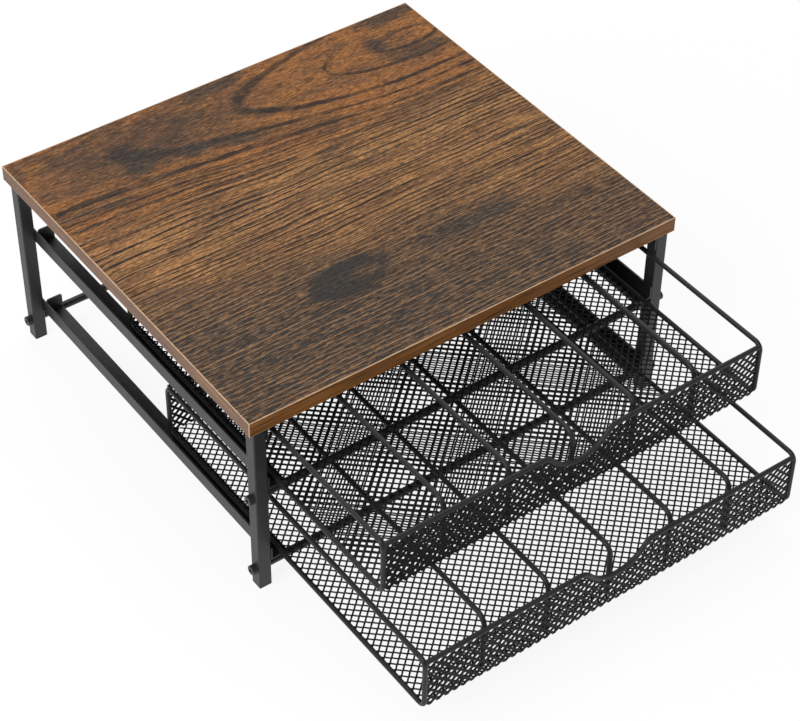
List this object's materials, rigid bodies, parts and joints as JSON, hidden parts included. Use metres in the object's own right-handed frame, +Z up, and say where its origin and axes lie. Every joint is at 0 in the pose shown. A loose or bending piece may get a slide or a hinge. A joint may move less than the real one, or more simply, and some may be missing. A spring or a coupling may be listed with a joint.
{
  "type": "coffee pod drawer stand",
  "caption": "Two-tier coffee pod stand: wood-grain board on a black steel tube frame, over two sliding wire drawers with mesh floors, divider wires and finger scoops.",
  "frame": {"origin": "on the ground, at the middle of the box round the stand with both drawers drawn out as at rest", "axes": "+Z up; +Y to the back, against the way the drawers draw out; +X to the right seen from the front"},
  "size_m": [0.36, 0.4894, 0.163],
  "materials": {
    "board_top": "wood-grain laminate, satin",
    "board_edge": "wood-grain edge band, satin",
    "frame_steel": "fine matt powder coat",
    "wire_steel": "matt powder coat",
    "mesh_steel": "matt powder coat",
    "fastener_steel": "black oxide",
    "foot_plastic": "moulded, matt"
  },
  "bodies": {
    "stand": {"board_bracket_front_left": "frame_steel", "board_bracket_front_right": "frame_steel", "board_bracket_rear_left": "frame_steel", "board_bracket_rear_right": "frame_steel", "board_screws": "fastener_steel", "bolts_front_lower": "fastener_steel", "bolts_front_upper": "fastener_steel", "bolts_rear_lower": "fastener_steel", "crossbar_front_lower": "frame_steel", "crossbar_front_upper": "frame_steel", "crossbar_rear_lower": "frame_steel", "edge_band_front": "board_edge", "edge_band_left": "board_edge", "edge_band_rear": "board_edge", "edge_band_right": "board_edge", "foot_front_left": "foot_plastic", "foot_front_right": "foot_plastic", "foot_rear_left": "foot_plastic", "foot_rear_right": "foot_plastic", "leg_front_left": "frame_steel", "leg_front_right": "frame_steel", "leg_rear_left": "frame_steel", "leg_rear_right": "frame_steel", "rail_lower_left": "frame_steel", "rail_lower_right": "frame_steel", "rail_upper_left": "frame_steel", "rail_upper_right": "frame_steel", "top_board": "board_top"},
    "upper_drawer": {"upper_divider_1": "wire_steel", "upper_divider_2": "wire_steel", "upper_divider_3": "wire_steel", "upper_divider_4": "wire_steel", "upper_divider_5": "wire_steel", "upper_front_rim": "wire_steel", "upper_mesh_floor": "mesh_steel", "upper_mesh_front": "mesh_steel", "upper_mesh_rear": "mesh_steel", "upper_rear_rim": "wire_steel", "upper_side_frame_left": "wire_steel", "upper_side_frame_right": "wire_steel"},
    "lower_drawer": {"lower_divider_1": "wire_steel", "lower_divider_2": "wire_steel", "lower_divider_3": "wire_steel", "lower_divider_4": "wire_steel", "lower_divider_5": "wire_steel", "lower_front_rim": "wire_steel", "lower_mesh_floor": "mesh_steel", "lower_mesh_front": "mesh_steel", "lower_mesh_rear": "mesh_steel", "lower_rear_rim": "wire_steel", "lower_side_frame_left": "wire_steel", "lower_side_frame_right": "wire_steel"}
  },
  "joints": [
    {"name": "lower_drawer_slide", "type": "slide", "parent": "stand", "child": "lower_drawer", "axis": [0, -1, 0], "range_m": [-0.1625, 0.0475]},
    {"name": "upper_drawer_slide", "type": "slide", "parent": "stand", "child": "upper_drawer", "axis": [0, -1, 0], "range_m": [-0.1165, 0.0935]}
  ]
}
